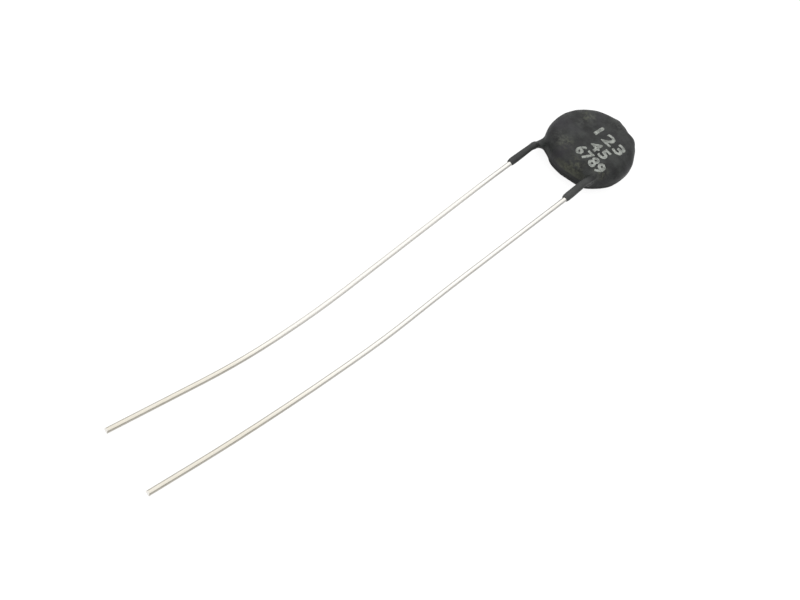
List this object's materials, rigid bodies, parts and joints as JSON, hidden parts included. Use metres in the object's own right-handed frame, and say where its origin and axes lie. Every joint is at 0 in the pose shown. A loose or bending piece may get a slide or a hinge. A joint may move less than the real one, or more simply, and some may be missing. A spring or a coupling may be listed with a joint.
{
  "type": "disc ntc thermistor",
  "caption": "Resin-dipped ceramic disc thermistor with two long bare wire leads, one soldered to each face of the disc, to limit the inrush current of a circuit.",
  "frame": {"origin": "centre of the flat back of the dipped disc, on the surface that the part lies on", "axes": "+Z out of the front face of the disc, +Y from the tips of the leads along them to the disc, +X to the right seen from the front with the leads pointing down"},
  "size_m": [0.0092, 0.0611, 0.0034],
  "materials": {
    "coating": "dark grey dipped resin, matt, slightly dusty",
    "ceramic": "dark fired metal-oxide ceramic, unglazed",
    "electrode": "matt fired silver",
    "solder": "satin solder",
    "lead": "bright tinned copper wire"
  },
  "bodies": {
    "root": {"coating": "coating", "ceramic_disc": "ceramic", "back_electrode": "electrode", "front_electrode": "electrode", "back_solder": "solder", "front_solder": "solder", "left_lead": "lead", "right_lead": "lead"}
  },
  "joints": []
}
